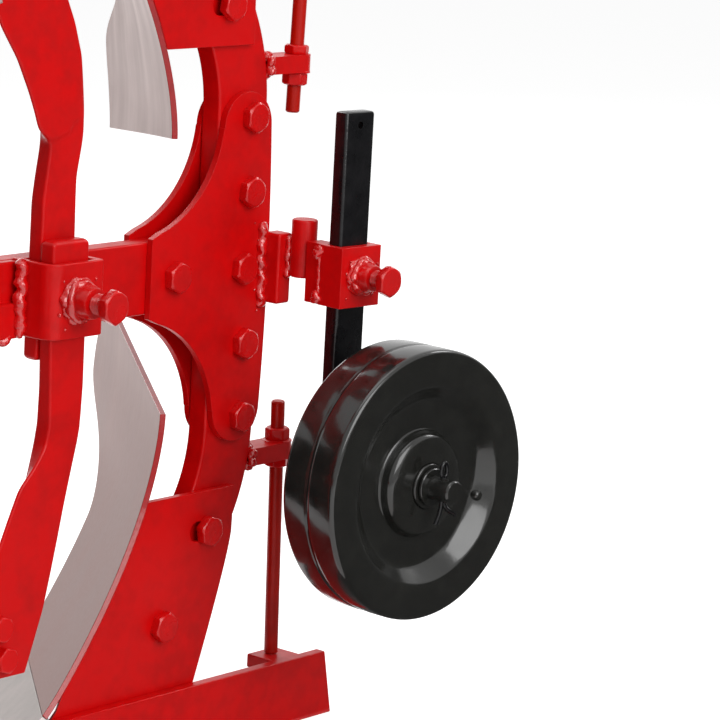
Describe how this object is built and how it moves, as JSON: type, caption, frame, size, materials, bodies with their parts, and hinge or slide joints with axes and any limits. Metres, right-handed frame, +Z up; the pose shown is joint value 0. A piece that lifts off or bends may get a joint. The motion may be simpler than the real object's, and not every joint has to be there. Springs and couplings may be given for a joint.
{
  "type": "reversible moldboard plough",
  "caption": "Mounted turnover plough with mirrored moldboard bodies above and below a flat-bar beam, skimmers, an adjustable depth wheel and a three-point headstock.",
  "frame": {"origin": "on the ground, under the middle of the plough's length and width", "axes": "+X in the direction of travel, towards the tractor; +Y to the left, the landside of the lower body; +Z up"},
  "size_m": [0.9378, 0.803, 0.82],
  "materials": {
    "red_enamel": "glossy red enamel over welded mild steel",
    "black_enamel": "glossy black enamel",
    "moldboard_steel": "satin ground steel, clear lacquered",
    "plated_steel": "zinc-plated steel pins and nuts"
  },
  "bodies": {
    "headstock": {"spindle_housing": "red_enamel", "mast_plate_left": "red_enamel", "mast_plate_right": "red_enamel", "top_link_pin": "plated_steel", "cross_bar": "red_enamel", "link_ear_left": "red_enamel", "link_ear_right": "red_enamel", "lower_link_pin_left": "plated_steel", "lower_link_pin_right": "plated_steel", "hitch_brace_left": "red_enamel", "hitch_brace_right": "red_enamel", "index_latch": "plated_steel", "stand_sleeve": "red_enamel"},
    "beam": {"beam": "red_enamel", "leg_lower": "red_enamel", "leg_upper": "red_enamel", "gusset_plate_left": "red_enamel", "gusset_plate_right": "red_enamel", "moldboard_lower": "moldboard_steel", "moldboard_upper": "moldboard_steel", "share_lower": "moldboard_steel", "share_upper": "moldboard_steel", "frog_plate_lower": "red_enamel", "frog_plate_upper": "red_enamel", "landside_lower": "red_enamel", "landside_upper": "red_enamel", "stay_rod_lower": "red_enamel", "stay_rod_upper": "red_enamel", "stay_arm_lower": "red_enamel", "stay_arm_upper": "red_enamel", "moldboard_brace_lower": "red_enamel", "moldboard_brace_upper": "red_enamel", "wheel_bracket_block": "red_enamel", "wheel_bracket_pin": "red_enamel", "wheel_clamp": "red_enamel", "wheel_clamp_screw": "red_enamel", "skimmer_clamp": "red_enamel", "skimmer_clamp_screw": "red_enamel", "skimmer_bracket": "red_enamel", "beam_flange": "red_enamel", "index_disc": "red_enamel", "spindle": "plated_steel", "spindle_nut": "plated_steel"},
    "wheel_arm": {"wheel_shank": "black_enamel", "wheel_axle": "black_enamel"},
    "wheel": {"wheel_half_left": "black_enamel", "wheel_half_right": "black_enamel", "wheel_hub": "black_enamel"},
    "skimmer_lower": {"skimmer_bar_lower": "red_enamel", "skimmer_board_lower": "moldboard_steel"},
    "skimmer_upper": {"skimmer_bar_upper": "red_enamel", "skimmer_board_upper": "moldboard_steel"},
    "stand": {"stand_bar": "black_enamel", "stand_foot": "black_enamel"}
  },
  "joints": [
    {"name": "turnover", "type": "hinge", "parent": "headstock", "child": "beam", "pos_m": [0.36886, 0, 0.41], "axis": [1, 0, 0], "range_deg": [0, 180]},
    {"name": "wheel_depth", "type": "slide", "parent": "beam", "child": "wheel_arm", "axis": [0, 0, 1], "range_m": [-0.1, 0.02]},
    {"name": "wheel_spin", "type": "hinge", "parent": "wheel_arm", "child": "wheel", "pos_m": [-0.35343, 0.1598, 0.248], "axis": [0.0732, 0.9973, 0], "continuous": true},
    {"name": "skimmer_lower_depth", "type": "slide", "parent": "beam", "child": "skimmer_lower", "axis": [0, 0, 1], "range_m": [-0.04, 0.04]},
    {"name": "skimmer_upper_depth", "type": "slide", "parent": "beam", "child": "skimmer_upper", "axis": [0, 0, 1], "range_m": [-0.04, 0.04]},
    {"name": "stand_height", "type": "slide", "parent": "headstock", "child": "stand", "axis": [0, 0, 1], "range_m": [0, 0.2]}
  ]
}
